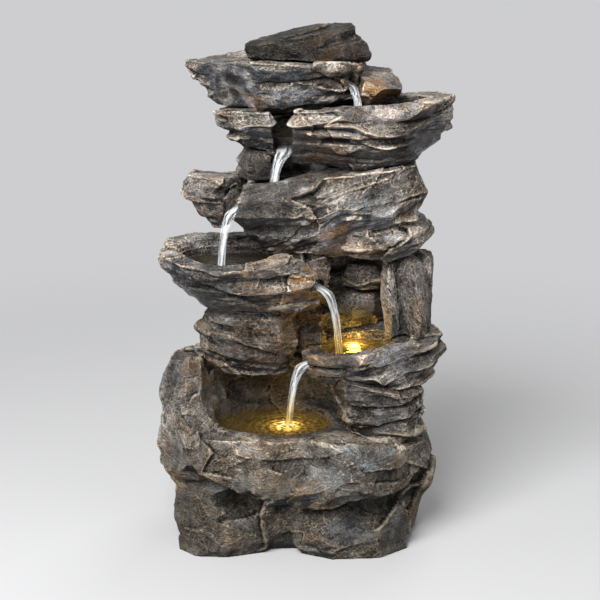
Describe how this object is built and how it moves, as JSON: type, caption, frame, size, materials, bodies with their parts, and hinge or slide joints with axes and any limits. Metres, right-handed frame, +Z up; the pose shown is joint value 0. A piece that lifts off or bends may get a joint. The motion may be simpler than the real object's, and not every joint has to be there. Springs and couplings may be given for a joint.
{
  "type": "rock waterfall fountain",
  "caption": "Free-standing fountain of stacked slate-like stones whose basins spill into each other, with a hidden pump, a riser hose and submerged warm lights.",
  "frame": {"origin": "on the floor under the middle of the base stone", "axes": "+Z up, -Y is the front that faces the viewer, +X is the viewer's right"},
  "size_m": [0.464, 0.325, 0.8196],
  "materials": {
    "slate": "matte, dry-brushed cast stone",
    "slate_panel": "matte cast panel",
    "black_plastic": "satin",
    "white_plastic": "satin",
    "rubber": "matte",
    "brass": "turned",
    "steel": "bright band",
    "ferrite": "ground ferrite",
    "ceramic": "polished",
    "clear_hose": "clear vinyl",
    "circuit_board": "white solder mask",
    "lit_lens": "potted clear resin",
    "water": "clear moving water"
  },
  "bodies": {
    "fountain": {"base_basin": "slate", "right_pier": "slate", "lit_bowl": "slate", "left_pier": "slate", "core_stone": "slate", "upright_slab": "slate", "upright_leaf": "slate", "left_bowl": "slate", "sill_stone": "slate", "lower_wedge": "slate", "upper_wedge": "slate", "shoulder_stone": "slate", "middle_bowl": "slate", "left_wing": "slate", "chock_stone": "slate", "upper_bowl": "slate", "spout_cheek": "slate", "top_bowl": "slate", "cap_stone": "slate", "screw_inserts": "brass", "pool_light_cup": "black_plastic", "pool_light_board": "circuit_board", "pool_light_lens": "lit_lens", "bowl_light_cup": "black_plastic", "bowl_light_board": "circuit_board", "bowl_light_lens": "lit_lens", "pump_motor": "black_plastic", "volute_seal": "rubber", "pump_gland": "rubber", "pump_volute": "black_plastic", "outlet_nozzle": "black_plastic", "riser_hose": "clear_hose", "hose_clamp": "steel", "impeller_shaft": "ceramic", "shaft_bushes": "rubber", "suction_feet": "rubber"},
    "impeller": {"impeller": "white_plastic", "rotor_magnet": "ferrite"},
    "intake_cover": {"pump_cover": "black_plastic"},
    "dial": {"flow_dial": "white_plastic"},
    "door": {"rear_door": "slate_panel", "door_screws": "black_plastic"}
  },
  "joints": [
    {"name": "impeller_spin", "type": "hinge", "parent": "fountain", "child": "impeller", "pos_m": [0.01, 0.085, 0.047], "axis": [1, 0, 0], "continuous": true},
    {"name": "cover_pull", "type": "slide", "parent": "fountain", "child": "intake_cover", "axis": [-1, 0, 0], "range_m": [0, 0.03]},
    {"name": "dial_turn", "type": "hinge", "parent": "intake_cover", "child": "dial", "pos_m": [0.01, 0.085, 0.047], "axis": [1, 0, 0], "range_deg": [0, 60]},
    {"name": "door_pull", "type": "slide", "parent": "fountain", "child": "door", "axis": [0, 1, 0], "range_m": [0, 0.08]}
  ]
}
